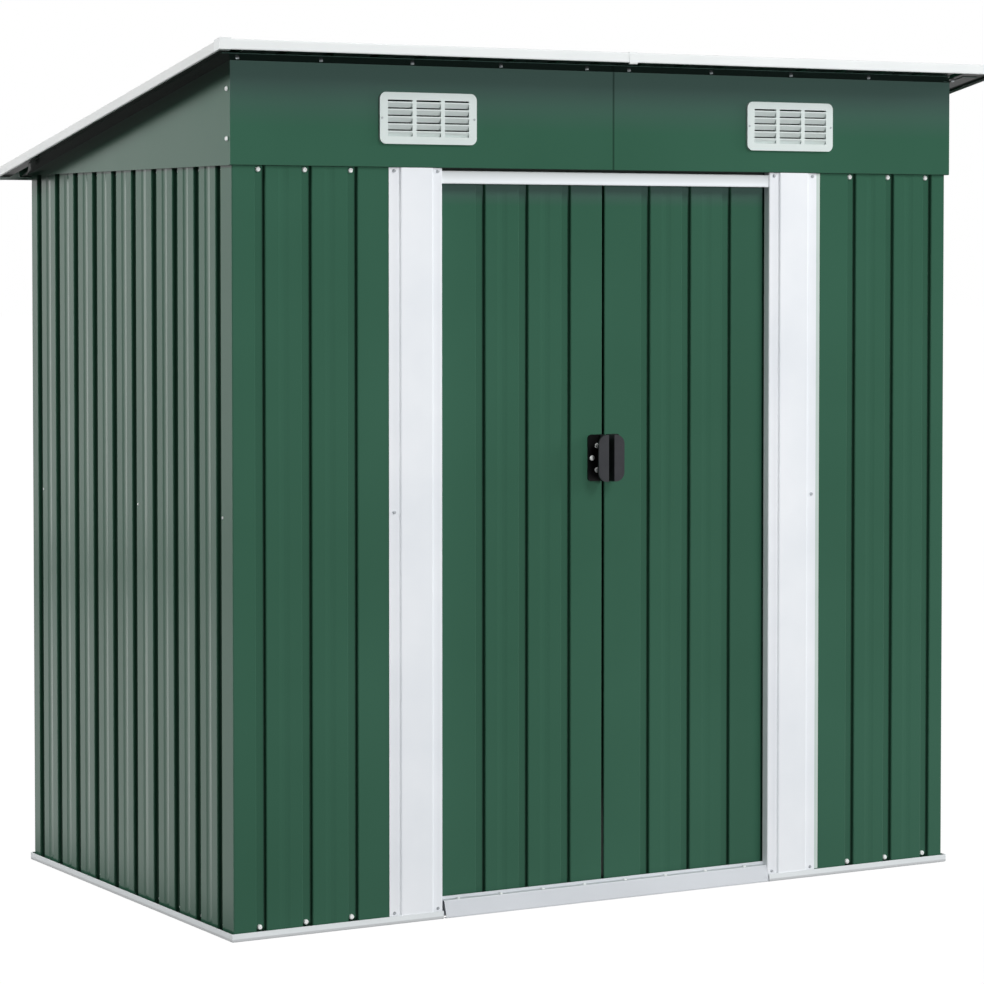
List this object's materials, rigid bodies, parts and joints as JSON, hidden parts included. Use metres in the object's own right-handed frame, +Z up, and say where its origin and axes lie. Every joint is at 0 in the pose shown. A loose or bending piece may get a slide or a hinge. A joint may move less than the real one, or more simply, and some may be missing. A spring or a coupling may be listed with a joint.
{
  "type": "metal storage shed with sliding doors",
  "caption": "Pent-roofed garden shed of grooved green steel sheet with white jambs and roof trim, louvred vents and a pair of sliding doors.",
  "frame": {"origin": "on the ground, below the middle of the roof's outline", "axes": "+Z up, -Y towards the front with the doors, +X to the right along the front"},
  "size_m": [1.94, 1.21, 1.8135],
  "materials": {
    "green_steel": "satin dark green coated sheet steel with a pale grey back coat",
    "roof_steel": "satin dark green coated sheet steel with a pale grey back coat",
    "white_steel": "smooth white coated sheet steel",
    "white_trim": "smooth white coated sheet steel",
    "galvanised_rail": "pale grey coated galvanised steel",
    "frame_steel": "bare galvanised sheet steel",
    "runner_steel": "bare galvanised sheet steel with plastic slides",
    "vent_plastic": "moulded white plastic",
    "handle_plastic": "moulded black plastic with a fine grain"
  },
  "bodies": {
    "shed": {"base_rail_front_left": "galvanised_rail", "base_rail_front_right": "galvanised_rail", "base_rail_left": "galvanised_rail", "base_rail_right": "galvanised_rail", "base_rail_rear": "galvanised_rail", "door_threshold": "galvanised_rail", "door_bottom_track": "galvanised_rail", "top_rail_left": "frame_steel", "top_rail_right": "frame_steel", "top_rail_rear": "frame_steel", "roof_beam": "frame_steel", "door_top_track": "white_steel", "door_header": "white_steel", "door_jamb_left": "white_steel", "door_jamb_right": "white_steel", "front_wall_left": "green_steel", "front_wall_right": "green_steel", "left_wall_front": "green_steel", "left_wall_rear": "green_steel", "right_wall_front": "green_steel", "right_wall_rear": "green_steel", "rear_wall_left": "green_steel", "rear_wall_middle": "green_steel", "rear_wall_right": "green_steel", "fascia_left": "green_steel", "fascia_right": "green_steel", "gable_left": "green_steel", "gable_right": "green_steel", "roof_panel_left": "roof_steel", "roof_panel_middle": "roof_steel", "roof_panel_right": "roof_steel", "roof_trim_front_left": "white_trim", "roof_trim_front_right": "white_trim", "roof_trim_left": "white_trim", "roof_trim_right": "white_trim", "roof_trim_rear": "white_trim", "roof_corner_caps": "white_trim", "vent_left": "vent_plastic", "vent_right": "vent_plastic"},
    "left_door": {"door_panel_left": "green_steel", "door_runners_left": "runner_steel", "door_handle_left": "handle_plastic"},
    "right_door": {"door_panel_right": "green_steel", "door_runners_right": "runner_steel", "door_handle_right": "handle_plastic"}
  },
  "joints": [
    {"name": "left_door_slide", "type": "slide", "parent": "shed", "child": "left_door", "axis": [-1, 0, 0], "range_m": [0, 0.36]},
    {"name": "right_door_slide", "type": "slide", "parent": "shed", "child": "right_door", "axis": [1, 0, 0], "range_m": [0, 0.36]}
  ]
}
